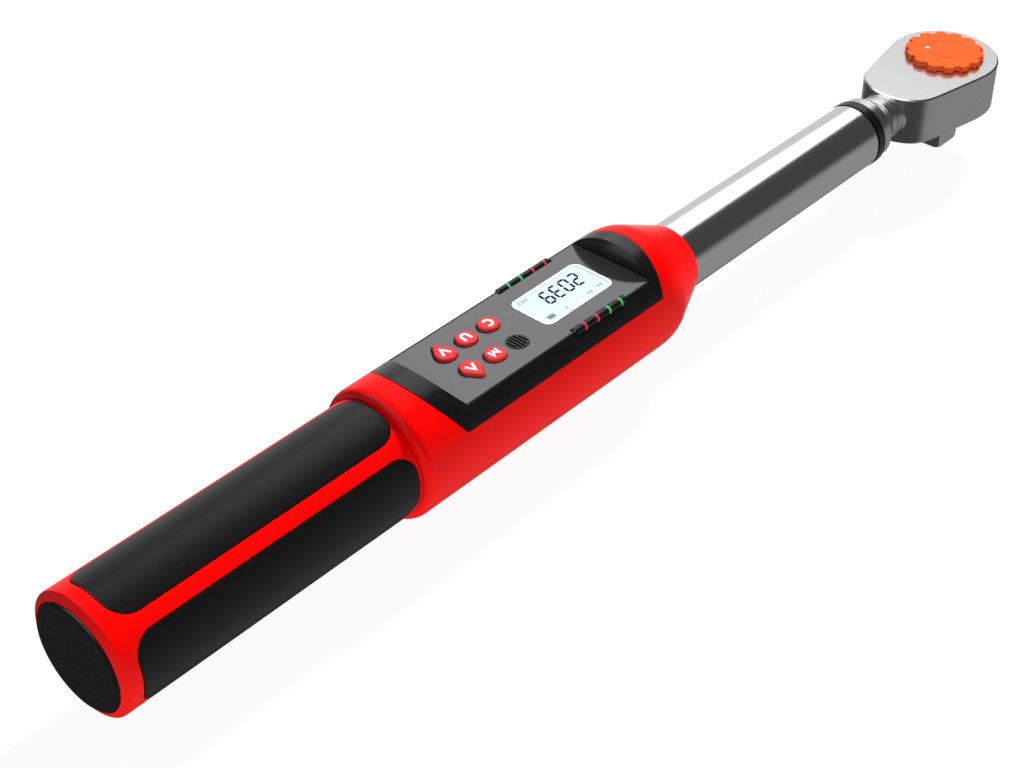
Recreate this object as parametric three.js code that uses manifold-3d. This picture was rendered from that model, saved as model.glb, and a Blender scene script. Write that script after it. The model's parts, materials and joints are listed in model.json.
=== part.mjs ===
// Digital click-free torque wrench: ratchet head, steel tube, electronic housing and battery grip.
// Lengths are millimetres. While it is built, x is the station along the tool from the butt's end
// face, z = 0 is the tool's long axis, and +z is the side of the display. The finished group is
// moved so that the origin is the middle of the square drive's end face.
import * as THREE from "three";
import { mergeVertices } from "three/addons/utils/BufferGeometryUtils.js";
import Module from "manifold-3d";

const wasm = await Module();
wasm.setup();

// Overall layout
const HOUSING_R = 21;
const GRIP_R = 18.7;
const GRIP_END = 105.3;
const NOSE_END = 237.9;
const TUBE_R = 11.87;
const TUBE_START = 216;
const TUBE_END = 341.6;
const BAR_R = 8;
const NECK_R = 8.3;

// Display flat, and the black frame around it
const FLAT_Z = 14.2;
const FLAT_REAR = 127.2;
const FLAT_FRONT = 208.6;
const FRAME_LOW_Z = 8.54;
const FRAME_REAR_TOP = 115.1;
const FRAME_FRONT_TOP = 214.5;
const FRAME_REAR_SLOPE = 0.7;
const FRAME_FRONT_SLOPE = 0.3;
const PLATE = 0.5;
const LCD_X = 185.8;
const LCD = [30.8, 16.4];
const KEY_R = 3.42;
const KEY_TOP = 15.2;
const BUZZER = [158.7, -6.2];
const LIGHT_BAR = { y: 15.1, z: 13.6, r: 1.3, from: 173.2, to: 197.2 };
const LIGHTS = [178, 183.5, 189, 194.5];

// Ratchet head
const DRIVE_X = 400.4;
const DRIVE_END_Z = -25.5;
const SQUARE = 12.7;
const DETENT_Z = -19.8;
const HEAD_TOP = 8.7;
const HEAD_BOTTOM = -9.3;
const HEAD_R = 19.6;
const HEAD_CORNER = [367.5, 13.76];
const HEAD_REAR = 361;
const CAVITY_TOP = 5;
const COVER_Z = -7.4;
const TEETH = 36;
const GEAR_TIP_R = 12.4;
const GEAR_ROOT_R = 11.4;
const GEAR_TOP = 3;
const PAWL_X = 381.5;
const PAWL_SWING = 6;
const DIAL_SWING = 20;
const DIAL_R = 14.2;
const DIAL_TOP = 11;

const GAP = 0.15;
const deg = THREE.MathUtils.degToRad;

// ---------------------------------------------------------------- solids

// Turns a closed three.js geometry into a solid that faces outwards.
function solid(geometry) {
  const bare = geometry.clone();
  bare.deleteAttribute("normal");
  bare.deleteAttribute("uv");
  const merged = mergeVertices(bare, 1e-4);
  const corners = merged.index.array;
  const kept = [];
  const flipped = [];
  for (let i = 0; i < corners.length; i += 3) {
    const [a, b, c] = [corners[i], corners[i + 1], corners[i + 2]];
    if (a === b || b === c || c === a) continue;
    kept.push(a, b, c);
    flipped.push(a, c, b);
  }
  const vertProperties = new Float32Array(merged.attributes.position.array);
  const make = (list) =>
    new wasm.Manifold(new wasm.Mesh({ numProp: 3, vertProperties, triVerts: new Uint32Array(list) }));
  const made = make(kept);
  return made.volume() < 0 ? make(flipped) : made;
}

// Revolved about the long axis from [station, radius] points.
function turnedX(profile, segments = 24) {
  const points = profile.map(([x, r]) => new THREE.Vector2(r, x));
  return solid(new THREE.LatheGeometry(points, segments).rotateZ(-Math.PI / 2));
}

// Revolved about a vertical axis at (x, y) from [radius, z] points.
function turnedZ(profile, x = 0, y = 0, segments = 24) {
  const points = profile.map(([r, z]) => new THREE.Vector2(r, z));
  const turned = new THREE.LatheGeometry(points, segments).rotateX(Math.PI / 2);
  return solid(turned.translate(x, y, 0));
}

function rodX(r, from, to, segments = 24) {
  return turnedX([[from, 0], [from, r], [to, r], [to, 0]], segments);
}

function rodZ(r, low, high, x = 0, y = 0, segments = 24) {
  return turnedZ([[0, low], [r, low], [r, high], [0, high]], x, y, segments);
}

function rodY(r, from, to, x, z, segments = 12) {
  const rod = new THREE.CylinderGeometry(r, r, to - from, segments);
  return solid(rod.translate(x, (from + to) / 2, z));
}

function block(x, y, z) {
  const box = new THREE.BoxGeometry(x[1] - x[0], y[1] - y[0], z[1] - z[0]);
  return solid(box.translate((x[0] + x[1]) / 2, (y[0] + y[1]) / 2, (z[0] + z[1]) / 2));
}

// A flat outline in x and y, given thickness from low to high.
function plate(shape, low, high, bevel = 0, curveSegments = 4) {
  const depth = high - low - 2 * bevel;
  const options = { depth, curveSegments, bevelEnabled: bevel > 0, bevelSegments: 1 };
  options.bevelSize = bevel;
  options.bevelThickness = bevel;
  options.bevelOffset = -bevel;
  return solid(new THREE.ExtrudeGeometry(shape, options).translate(0, 0, low + bevel));
}

// An outline in x and z, extruded across y.
function sideProfile(points, from, to) {
  const shape = new THREE.Shape(points.map(([x, z]) => new THREE.Vector2(x, z)));
  const sheet = new THREE.ExtrudeGeometry(shape, { depth: to - from, bevelEnabled: false });
  return solid(sheet.rotateX(Math.PI / 2).translate(0, to, 0));
}

function joined(...solids) {
  return solids.reduce((whole, next) => whole.add(next));
}

function cut(whole, ...tools) {
  return tools.reduce((left, tool) => left.subtract(tool), whole);
}

function roundedRect(x, y, length, width, r) {
  const [x0, x1] = [x - length / 2, x + length / 2];
  const [y0, y1] = [y - width / 2, y + width / 2];
  const shape = new THREE.Shape();
  shape.moveTo(x0 + r, y0);
  shape.lineTo(x1 - r, y0);
  shape.absarc(x1 - r, y0 + r, r, -Math.PI / 2, 0);
  shape.lineTo(x1, y1 - r);
  shape.absarc(x1 - r, y1 - r, r, 0, Math.PI / 2);
  shape.lineTo(x0 + r, y1);
  shape.absarc(x0 + r, y1 - r, r, Math.PI / 2, Math.PI);
  shape.lineTo(x0, y0 + r);
  shape.absarc(x0 + r, y0 + r, r, Math.PI, 1.5 * Math.PI);
  return shape;
}

// Round wire wound into a coil along +x from the origin.
function coil(radius, wire, pitch, turns, steps = 10) {
  const points = [];
  for (let i = 0; i <= turns * steps; i++) {
    const turn = (i / steps) * 2 * Math.PI;
    points.push(new THREE.Vector3((pitch * i) / steps, radius * Math.cos(turn), radius * Math.sin(turn)));
  }
  const path = new THREE.CatmullRomCurve3(points);
  const section = new THREE.Shape().absarc(0, 0, wire, 0, 2 * Math.PI);
  const options = { extrudePath: path, steps: turns * steps, curveSegments: 2, bevelEnabled: false };
  return solid(new THREE.ExtrudeGeometry(section, options));
}

// ---------------------------------------------------------------- materials and the tree

const paint = (color, roughness, metalness = 0) =>
  new THREE.MeshStandardMaterial({ color, roughness, metalness });
const LOOKS = {
  red: paint(0xd81818, 0.35),
  key: paint(0xe04545, 0.45),
  rubber: paint(0x26282a, 0.8),
  black: paint(0x1b1b1c, 0.4),
  grey: paint(0x77797b, 0.7),
  white: paint(0xf4f6f6, 0.5),
  glass: paint(0xdcefff, 0.15),
  board: paint(0x1c6a3a, 0.6),
  steel: paint(0xc4c8ca, 0.3, 0.9),
  satin: paint(0xaab0b2, 0.45, 0.9),
  brass: paint(0xc9a750, 0.35, 0.9),
  orange: paint(0xff6a2a, 0.5),
  cell: paint(0x2b6db0, 0.4),
  lightRed: paint(0xe8324a, 0.3),
  lightGreen: paint(0x39d05a, 0.3),
};

const tool = new THREE.Group();

function piece(name, look, body) {
  const { vertProperties, triVerts } = body.getMesh();
  const geometry = new THREE.BufferGeometry();
  geometry.setAttribute("position", new THREE.BufferAttribute(vertProperties, 3));
  geometry.setIndex(new THREE.BufferAttribute(triVerts, 1));
  geometry.computeVertexNormals();
  const mesh = new THREE.Mesh(geometry, LOOKS[look]);
  mesh.name = name;
  tool.add(mesh);
}

// ---------------------------------------------------------------- grip

// A rubber pad wrapped on the grip: an annular sector whose width narrows round its corners.
const PAD = { from: 6.4, to: 104.7, half: 37.2, corner: 7, inner: 17.2 };

function wrappedPad(turn, grow, inner, outer) {
  const across = 6;
  const { corner } = PAD;
  const stations = [];
  for (let i = 0; i <= 3; i++) {
    const a = deg(30 * i);
    stations.push([corner * (1 - Math.cos(a)), corner * (1 - Math.sin(a))]);
  }
  const span = PAD.to - PAD.from;
  const mirrored = stations.map(([x, inset]) => [span - x, inset]).reverse();
  const sections = [...stations, ...mirrored];
  const positions = [];
  const index = [];
  const ring = 2 * (across + 1);
  for (const [offset, inset] of sections) {
    const x = PAD.from + offset + (offset < span / 2 ? -grow : grow);
    const half = deg(PAD.half) - (inset - grow) / GRIP_R;
    for (let i = 0; i < ring; i++) {
      const out = i <= across;
      const place = out ? i / across : (ring - 1 - i) / across;
      const angle = deg(turn) + half * (2 * place - 1);
      const r = out ? outer : inner;
      positions.push(x, -r * Math.sin(angle), r * Math.cos(angle));
    }
  }
  const last = (sections.length - 1) * ring;
  for (let s = 0; s < sections.length - 1; s++) {
    for (let i = 0; i < ring; i++) {
      const [a, b] = [s * ring + i, s * ring + ((i + 1) % ring)];
      index.push(a, b, a + ring, b, b + ring, a + ring);
    }
  }
  for (let i = 0; i < across; i++) {
    const [a, b, c, d] = [i, i + 1, ring - 2 - i, ring - 1 - i];
    index.push(a, d, b, b, d, c);
    index.push(last + a, last + b, last + d, last + b, last + c, last + d);
  }
  const geometry = new THREE.BufferGeometry();
  geometry.setAttribute("position", new THREE.Float32BufferAttribute(positions, 3));
  geometry.setIndex(index);
  return solid(geometry);
}

const HOLDER = { from: 15, to: 64.6, r: 12 };
const CELL = { r: 5.25, length: 43.6, off: 6.3 };
const CAP_PLUG_R = 12.9;

function buildGrip() {
  let handle = turnedX([
    [0.5, 16.3],
    [1.9, GRIP_R],
    [GRIP_END, GRIP_R],
    [GRIP_END, 16.6],
    [117, 16.6],
    [117, BAR_R + 0.3],
    [71, BAR_R + 0.3],
    [71, 12.4],
    [14, 12.4],
    [14, 13.2],
    [3.2, 13.2],
    [3.2, 16.3],
    [0.5, 16.3],
  ], 36);
  const pads = { top: 0, near: 90, bottom: 180, far: 270 };
  for (const turn of Object.values(pads))
    handle = cut(handle, wrappedPad(turn, GAP, PAD.inner - GAP, GRIP_R + 2));
  piece("grip_handle", "red", cut(handle, rodY(2.15, -16, 16, 88, 0)));
  for (const [side, turn] of Object.entries(pads))
    piece("grip_pad_" + side, "rubber", wrappedPad(turn, 0, PAD.inner, GRIP_R));
  piece("grip_cross_pin", "steel", rodY(2, -15.8, 15.8, 88, 0));

  const ends = joined(
    rodX(HOLDER.r, HOLDER.from, HOLDER.from + 1.4, 20),
    rodX(HOLDER.r, HOLDER.to - 1.4, HOLDER.to, 20),
  );
  const posts = [0, 120, 240].map((turn) => {
    const angle = deg(turn);
    const post = new THREE.CylinderGeometry(1.2, 1.2, HOLDER.to - HOLDER.from, 6).rotateZ(Math.PI / 2);
    const middle = (HOLDER.from + HOLDER.to) / 2;
    return solid(post.translate(middle, 10.6 * Math.cos(angle), 10.6 * Math.sin(angle)));
  });
  piece("battery_holder", "black", joined(ends, ...posts));
  [60, 180, 300].forEach((turn, i) => {
    const angle = deg(turn);
    const start = HOLDER.from + 2.2;
    const profile = [
      [start, 0],
      [start, CELL.r],
      [start + CELL.length, CELL.r],
      [start + CELL.length, 1.9],
      [start + CELL.length + 0.9, 1.9],
      [start + CELL.length + 0.9, 0],
    ];
    const cell = turnedX(profile, 16);
    const at = [0, CELL.off * Math.cos(angle), CELL.off * Math.sin(angle)];
    piece("battery_" + (i + 1), "cell", cell.translate(at));
  });
  piece("contact_board", "board", rodX(12, HOLDER.to + 1.2, HOLDER.to + 2.8, 20));

  const cap = turnedX([
    [0, 0],
    [0, 15.5],
    [0.5, 16],
    [2.9, 16],
    [2.9, CAP_PLUG_R],
    [4.6, CAP_PLUG_R],
    [4.6, 11.8],
    [6.4, 11.8],
    [6.4, CAP_PLUG_R],
    [12.6, CAP_PLUG_R],
    [12.6, 10.6],
    [3.6, 10.6],
    [3.6, 0],
  ]);
  piece("battery_cap", "black", cap);
  const seal = [];
  for (let i = 0; i <= 6; i++) {
    const a = (i / 6) * 2 * Math.PI;
    seal.push([5.5 + 0.6 * Math.cos(a), 12.45 + 0.55 * Math.sin(a)]);
  }
  seal[6] = seal[0];
  piece("cap_seal_ring", "rubber", turnedX(seal));
  piece("cap_contact_plate", "brass", rodX(9.6, 3.9, 4.9, 16));
  piece("cap_contact_spring", "steel", coil(5, 0.45, 2.4, 3).translate([5.7, 0, 0]));
}

// ---------------------------------------------------------------- housing and display

// The black frame seen from the side: it leans back at both ends.
function frameOutline(grow) {
  const high = HOUSING_R + 3;
  const low = FRAME_LOW_Z;
  const rear = (z) => FRAME_REAR_TOP + FRAME_REAR_SLOPE * (HOUSING_R - z) - grow;
  const front = (z) => FRAME_FRONT_TOP - FRAME_FRONT_SLOPE * (HOUSING_R - z) + grow;
  const points = [[rear(low - grow), low - grow], [front(low - grow), low - grow]];
  points.push([front(high), high], [rear(high), high]);
  return sideProfile(points, -30, 30);
}

const KEYS = [
  { name: "key_clear", x: 159, y: 5.7 },
  { name: "key_unit", x: 149.5, y: 5.7 },
  { name: "key_mode", x: 149.5, y: -5.7 },
  { name: "key_down", x: 140, y: 4.9, tip: 1 },
  { name: "key_up", x: 140, y: -4.9, tip: -1 },
];

// Round key, or a drop with its point towards +y or -y.
function keyOutline(key, grow) {
  const r = KEY_R + grow;
  const shape = new THREE.Shape();
  if (!key.tip) return shape.absarc(key.x, key.y, r, 0, 2 * Math.PI);
  const tipR = 0.55 + grow;
  const tipY = key.y + key.tip * 4.9;
  const lean = Math.asin((r - tipR) / 4.9);
  const up = key.tip > 0;
  const start = up ? lean : -lean;
  shape.absarc(key.x, key.y, r, Math.PI - start, start, !up);
  shape.absarc(key.x, tipY, tipR, start, Math.PI - start, !up);
  return shape;
}

function lightRod(side, grow) {
  const { y, z, r, from, to } = LIGHT_BAR;
  const profile = [
    [from - grow, 0],
    [from - grow, r - 0.4 + grow],
    [from + 0.4 - grow, r + grow],
    [to - 0.4 + grow, r + grow],
    [to + grow, r - 0.4 + grow],
    [to + grow, 0],
  ];
  return turnedX(profile, 8).translate([0, side * y, z]);
}

function buildHousing() {
  const shell = turnedX([
    [GRIP_END + 0.3, GRIP_R + 0.2],
    [105.9, 19.8],
    [107, 20.6],
    [108.8, HOUSING_R],
    [214.5, HOUSING_R],
    [217.5, 20.8],
    [220, 20.35],
    [222, 19.75],
    [223.6, 19],
    [236.7, 12.95],
    [NOSE_END, 12.35],
    [NOSE_END, TUBE_R + 0.15],
    [215.5, TUBE_R + 0.15],
    [212.5, 17.8],
    [118, 17.8],
    [118, 16.8],
    [GRIP_END + 0.3, 16.8],
    [GRIP_END + 0.3, GRIP_R + 0.2],
  ], 36);
  piece("display_housing", "red", cut(shell, frameOutline(GAP)));

  const wall = [[FLAT_REAR, FLAT_Z], [FLAT_FRONT, FLAT_Z], [FLAT_FRONT + 1, HOUSING_R + 3]];
  wall.push([FLAT_REAR - 7.4, HOUSING_R + 3]);
  const floorZ = FLAT_Z - PLATE - 0.1;
  const seat = plate(roundedRect(167.9, 0, 81.1, 30.3, 0.6), floorZ, FLAT_Z + 1);
  let frame = rodX(HOUSING_R, 100, 230, 36).intersect(frameOutline(0));
  frame = cut(frame, sideProfile(wall, -30, 30), seat);
  frame = cut(frame, block([128.5, 206.5], [-13.6, 13.6], [0, floorZ - 1.2]));
  frame = cut(frame, plate(roundedRect(LCD_X, 0, 27, 12.8, 1.2), 0, 20));
  frame = cut(frame, lightRod(1, GAP), lightRod(-1, GAP));
  frame = cut(frame, rodZ(3, 0, 20, ...BUZZER, 16));
  for (const key of KEYS)
    frame = cut(frame, plate(keyOutline(key, 0.25), 0, 20));
  piece("display_frame", "black", frame);

  let face = plate(roundedRect(167.9, 0, 80.8, 30, 0.5), FLAT_Z - PLATE, FLAT_Z);
  face = cut(face, plate(roundedRect(LCD_X, 0, LCD[0] + 0.3, LCD[1] + 0.3, 2.95), 10, 20));
  face = cut(face, lightRod(1, GAP), lightRod(-1, GAP), rodZ(3.65, 10, 20, ...BUZZER, 16));
  for (const key of KEYS)
    face = cut(face, plate(keyOutline(key, 0.25), 10, 20));
  piece("faceplate", "grey", face);

  const rim = plate(roundedRect(LCD_X, 0, LCD[0], LCD[1], 2.8), FLAT_Z - 0.5, FLAT_Z + 0.2);
  const hole = plate(roundedRect(LCD_X, 0, LCD[0] - 2.2, LCD[1] - 2.2, 1.8), 10, 20);
  piece("lcd_rim", "white", cut(rim, hole));
  const pane = roundedRect(LCD_X, 0, LCD[0] - 2.5, LCD[1] - 2.5, 1.65);
  piece("lcd_window", "glass", plate(pane, FLAT_Z - 0.5, FLAT_Z + 0.05));
  piece("lcd_panel", "glass", block([171.6, 200], [-7.3, 7.3], [10.2, 12.2]));
  piece("main_board", "board", block([130, 205], [-13.2, 13.2], [8.85, 9.95]));

  let mat = block([133, 168], [-12, 12], [10.1, 10.4]);
  for (const key of KEYS)
    mat = joined(mat, turnedZ([[0, 10.2], [2.6, 10.2], [1.8, 10.9], [0, 10.9]], key.x, key.y, 8));
  piece("key_mat", "rubber", cut(mat, rodZ(4.6, 5, 20, ...BUZZER, 12)));
  piece("buzzer", "black", rodZ(4.2, 10.2, 12.2, ...BUZZER, 12));
  let grille = rodZ(3.45, FLAT_Z - 0.5, FLAT_Z + 0.12, ...BUZZER, 16);
  for (const step of [-2, -1, 0, 1, 2]) {
    const half = Math.sqrt(2.75 ** 2 - step ** 2);
    const x = BUZZER[0] + 1.2 * step;
    grille = cut(grille, block([x - 0.3, x + 0.3], [BUZZER[1] - half, BUZZER[1] + half], [10, 20]));
  }
  piece("buzzer_grille", "black", grille);

  for (const key of KEYS) {
    const stem = plate(keyOutline(key, 0), 12, KEY_TOP, 0.3);
    const flange = plate(keyOutline({ ...key, tip: 0 }, 0.6), 11.5, 12.2);
    piece(key.name, "key", joined(stem, flange));
  }

  const { y, z, r } = LIGHT_BAR;
  for (const [side, sign] of Object.entries({ near: -1, far: 1 })) {
    let bar = lightRod(sign, 0);
    LIGHTS.forEach((x, i) => {
      const ring = (inner, outer, from, to) =>
        turnedX([[from, inner], [to, inner], [to, outer], [from, outer], [from, inner]], 8)
          .translate([0, sign * y, z]);
      bar = cut(bar, ring(0.7, 3, x - 0.55, x + 0.55));
      const look = (i < 2) === (sign < 0) ? "lightRed" : "lightGreen";
      piece(`light_${side}_${i + 1}`, look, ring(0.8, r + 0.05, x - 0.45, x + 0.45));
    });
    piece("light_bar_" + side, "black", bar);
  }
}

// ---------------------------------------------------------------- measuring bar and tube

function buildShaft() {
  const spigot = rodX(4.9, 335, 349.6, 12);
  const flats = joined(
    block([250, 280], [-10, 10], [6.2, 10]),
    block([250, 280], [-10, 10], [-10, -6.2]),
  );
  const bar = cut(joined(rodX(BAR_R, 74, 335.5), spigot), flats);
  piece("measuring_bar", "satin", cut(bar, rodY(2.15, -16, 16, 88, 0), rodZ(1.4, -9, 9, 343.6, 0, 8)));
  piece("strain_gauge_top", "brass", block([258, 270], [-3, 3], [6.3, 6.6]));
  piece("strain_gauge_bottom", "brass", block([258, 270], [-3, 3], [-6.6, -6.3]));
  const under = [[257.6, 6.4], [252, 6.4], [250.6, 8.2], [206, 8.2], [203.2, 8.5]];
  const over = under.map(([x, z]) => [x + 0.05, z + 0.2]).reverse();
  piece("gauge_flex", "brass", sideProfile([...under, ...over], -2, 2));

  piece("steel_tube", "steel", turnedX([
    [TUBE_START, 9.6],
    [TUBE_START, TUBE_R],
    [TUBE_END - 0.8, TUBE_R],
    [TUBE_END, TUBE_R - 0.8],
    [TUBE_END, 9.6],
    [TUBE_START, 9.6],
  ]));
  piece("tube_end_ring", "rubber", turnedX([
    [TUBE_END + 0.2, 8.5],
    [TUBE_END + 0.2, 11.7],
    [TUBE_END + 0.5, 12],
    [345.2, 12],
    [345.5, 11.7],
    [345.5, 8.5],
    [TUBE_END + 0.2, 8.5],
  ]));
  piece("neck_collar", "steel", turnedX([
    [345.7, 8.5],
    [345.7, 11],
    [345.9, 11.2],
    [350.4, 11.2],
    [351.2, 10.5],
    [351.2, 8.5],
    [345.7, 8.5],
  ]));
  piece("neck_pin", "steel", rodZ(1.2, -8.2, 8.2, 343.6, 0, 8));
}

// ---------------------------------------------------------------- ratchet head

// Pear outline: a round nose about the drive, straight sides, and a bowed rear.
function pear(noseR, cornerX, cornerY, rearX) {
  const reach = DRIVE_X - cornerX;
  const tangent = Math.atan2(cornerY, -reach) - Math.acos(noseR / Math.hypot(reach, cornerY));
  const sag = cornerX - rearX;
  const rearR = (cornerY ** 2 + sag ** 2) / (2 * sag);
  const spread = Math.asin(cornerY / rearR);
  const shape = new THREE.Shape();
  shape.absarc(DRIVE_X, 0, noseR, -tangent, tangent);
  shape.absarc(rearX + rearR, 0, rearR, Math.PI - spread, Math.PI + spread);
  return shape;
}

// Turns a solid about the pawl's pivot, in degrees.
function aboutPawl(body, angle) {
  return body.translate([-PAWL_X, 0, 0]).rotate([0, 0, angle]).translate([PAWL_X, 0, 0]);
}

const ARM_REACH = 14.6;
const SCREWS = [
  { name: "cover_screw_near", x: 369.2, y: -6, r: 2.1, shank: 1.2 },
  { name: "cover_screw_far", x: 369.2, y: 6, r: 2.1, shank: 1.2 },
  { name: "cover_screw_front", x: DRIVE_X + 15, y: 0, r: 1.5, shank: 0.8 },
];

function buildHead() {
  const neck = turnedX([
    [336, 0],
    [336, NECK_R],
    [351.4, NECK_R],
    [351.6, 7.2],
    [355.6, 7.2],
    [355.8, NECK_R],
    [358.6, NECK_R],
    [359, 8.05],
    [359.4, NECK_R],
    [362, NECK_R],
    [364.2, 9.1],
    [364.2, 0],
  ]);
  const slab = block([330, 370], [-14, 14], [HEAD_BOTTOM + 0.4, HEAD_TOP - 0.4]);
  let head = plate(pear(HEAD_R, ...HEAD_CORNER, HEAD_REAR), HEAD_BOTTOM, HEAD_TOP, 0.5, 9);
  head = joined(head, neck.intersect(slab));
  const pocket = plate(roundedRect(383, 0, 19, 18.6, 3), COVER_Z - 0.2, CAVITY_TOP);
  head = cut(head, rodZ(13, COVER_Z - 0.2, CAVITY_TOP, DRIVE_X, 0), pocket);
  head = cut(head, plate(pear(17.2, 368.6, 11.3, 363.6), HEAD_BOTTOM - 1, COVER_Z, 0, 9));
  head = cut(head, rodZ(4.25, 0, 12, DRIVE_X, 0, 16), rodZ(2.2, 0, 6.6, PAWL_X, 0, 12));
  head = cut(head, rodX(5.2, 330, 350, 12), rodZ(1.4, -10, 10, 343.6, 0, 8));
  for (const { x, y, shank } of SCREWS)
    head = cut(head, rodZ(shank + GAP, HEAD_BOTTOM, -3.2, x, y, 8));
  piece("head_body", "satin", head);

  let cover = plate(pear(17, 368.9, 11.1, 363.9), HEAD_BOTTOM, COVER_Z - 0.15, 0, 9);
  cover = cut(cover, rodZ(9.8, -12, 0, DRIVE_X, 0), rodZ(2.2, -8.2, 0, PAWL_X, 0, 12));
  for (const { name, x, y, r, shank } of SCREWS) {
    const head = [[0, HEAD_BOTTOM + 0.1], [r, HEAD_BOTTOM + 0.1], [shank, HEAD_BOTTOM + 1.2]];
    head.push([shank, -3.4], [0, -3.4]);
    const sink = [[0, -12], [r + GAP, -12], [r + GAP, HEAD_BOTTOM + 0.15], [shank + GAP, HEAD_BOTTOM + 1.3]];
    sink.push([shank + GAP, 0], [0, 0]);
    cover = cut(cover, turnedZ(sink, x, y, 8));
    piece(name, "steel", turnedZ(head, x, y, 8));
  }
  piece("head_cover", "satin", cover);

  // Output gear with the square drive below it
  const teeth = new THREE.Shape();
  for (let i = 0; i < TEETH; i++) {
    for (const [turn, r] of [[-1.5, GEAR_ROOT_R], [1.5, GEAR_ROOT_R], [3.5, GEAR_TIP_R], [6.5, GEAR_TIP_R]]) {
      const a = deg((360 / TEETH) * i + turn);
      const at = [DRIVE_X + r * Math.cos(a), r * Math.sin(a)];
      if (teeth.curves.length === 0 && i === 0 && turn === -1.5) teeth.moveTo(...at);
      else teeth.lineTo(...at);
    }
  }
  const square = block(
    [DRIVE_X - SQUARE / 2, DRIVE_X + SQUARE / 2],
    [-SQUARE / 2, SQUARE / 2],
    [DRIVE_END_Z, -9],
  );
  const edge = turnedZ(
    [[0, DRIVE_END_Z], [8, DRIVE_END_Z], [8.7, DRIVE_END_Z + 0.7], [8.7, -8], [0, -8]],
    DRIVE_X, 0, 24,
  );
  const hub = rodZ(9.5, -9.9, -6.6, DRIVE_X, 0);
  const ballY = SQUARE / 2 - 0.91;
  const detentHole = rodY(1.65, ballY - 4.85, SQUARE / 2 + 1, DRIVE_X, DETENT_Z);
  const drive = joined(plate(teeth, -7, GEAR_TOP), hub, square.intersect(edge));
  piece("drive_gear", "satin", cut(drive, detentHole));
  const ball = new THREE.SphereGeometry(1.5, 12, 8).translate(DRIVE_X, ballY, DETENT_Z);
  piece("detent_ball", "steel", solid(ball));
  const spring = coil(0.95, 0.2, 0.8, 3, 8).rotate([0, 0, 90]);
  piece("detent_spring", "steel", spring.translate([DRIVE_X, ballY - 4.6, DETENT_Z]));

  // Rocking pawl, with one tooth at each end that drops into a gap of the gear
  let pawl = plate(roundedRect(384.5, 0, 14.4, 15.2, 2.6), -6.8, 2.7);
  pawl = cut(pawl, rodZ(13.8, -10, 10, DRIVE_X, 0, 32));
  const wedge = new THREE.Shape();
  wedge.moveTo(DRIVE_X + 11.75, -0.15);
  wedge.lineTo(DRIVE_X + 14.6, -1.45);
  wedge.lineTo(DRIVE_X + 14.6, 1.45);
  wedge.lineTo(DRIVE_X + 11.75, 0.15);
  for (const side of [1, -1]) {
    let tooth = plate(wedge, -6.8, 2.7).translate([-DRIVE_X, 0, 0]);
    tooth = tooth.rotate([0, 0, side * 150]).translate([DRIVE_X, 0, 0]);
    pawl = joined(pawl, aboutPawl(tooth, side * PAWL_SWING));
  }
  pawl = pawl.intersect(block([370, 400], [-8, 8], [-10, 10]));
  for (let turn = -DIAL_SWING; turn <= DIAL_SWING; turn += 5) {
    const a = deg(180 + turn);
    const pin = [DRIVE_X + ARM_REACH * Math.cos(a), ARM_REACH * Math.sin(a)];
    const room = rodZ(1.5, 0.3, 6, ...pin, 10);
    pawl = cut(pawl, aboutPawl(room, (-PAWL_SWING / DIAL_SWING) * turn));
  }
  piece("pawl", "steel", cut(pawl, rodZ(2.15, -10, 10, PAWL_X, 0, 12)));
  piece("pawl_pin", "steel", rodZ(2, -8, 6.4, PAWL_X, 0, 12));

  // Direction dial on top, and the arm inside the head that it turns
  const lobes = new THREE.Shape();
  const LOBES = 14;
  for (let i = 0; i < LOBES; i++) {
    for (const [turn, r] of [[-4.4, 12.9], [4.4, 12.9], [6.2, DIAL_R], [19.5, DIAL_R]]) {
      const a = deg((360 / LOBES) * i + turn);
      if (i === 0 && turn === -4.4) lobes.moveTo(DRIVE_X + r * Math.cos(a), r * Math.sin(a));
      else lobes.lineTo(DRIVE_X + r * Math.cos(a), r * Math.sin(a));
    }
  }
  const knob = plate(lobes, HEAD_TOP + 0.2, DIAL_TOP);
  const spigot = cut(rodZ(4, 4.8, HEAD_TOP + 0.6, DRIVE_X, 0, 16), rodZ(2.2, 3, 8, DRIVE_X, 0, 12));
  const groove = [[6, 10.8], [6.4, 10.8], [6.4, 12], [6, 12], [6, 10.8]];
  const ringGroove = turnedZ(groove, DRIVE_X, 0, 24);
  const dotSeat = rodZ(0.8, 10.5, 12, DRIVE_X - 2.9, 5.6, 12);
  piece("direction_dial", "orange", cut(joined(knob, spigot), ringGroove, dotSeat));
  const armPlate = plate(roundedRect(DRIVE_X - 7.3, 0, 18.6, 3.8, 1.85), 3.4, 4.6);
  const armBoss = rodZ(2, 4, 7.6, DRIVE_X, 0, 12);
  const armPin = rodZ(1, 0.7, 4, DRIVE_X - ARM_REACH, 0, 8);
  piece("shift_arm", "steel", joined(armPlate, armBoss, armPin));
}

buildGrip();
buildHousing();
buildShaft();
buildHead();

tool.position.set(-DRIVE_X, 0, -DRIVE_END_Z);
const wrench = new THREE.Group();
wrench.name = "torque_wrench";
wrench.add(tool);
export default wrench;
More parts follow.
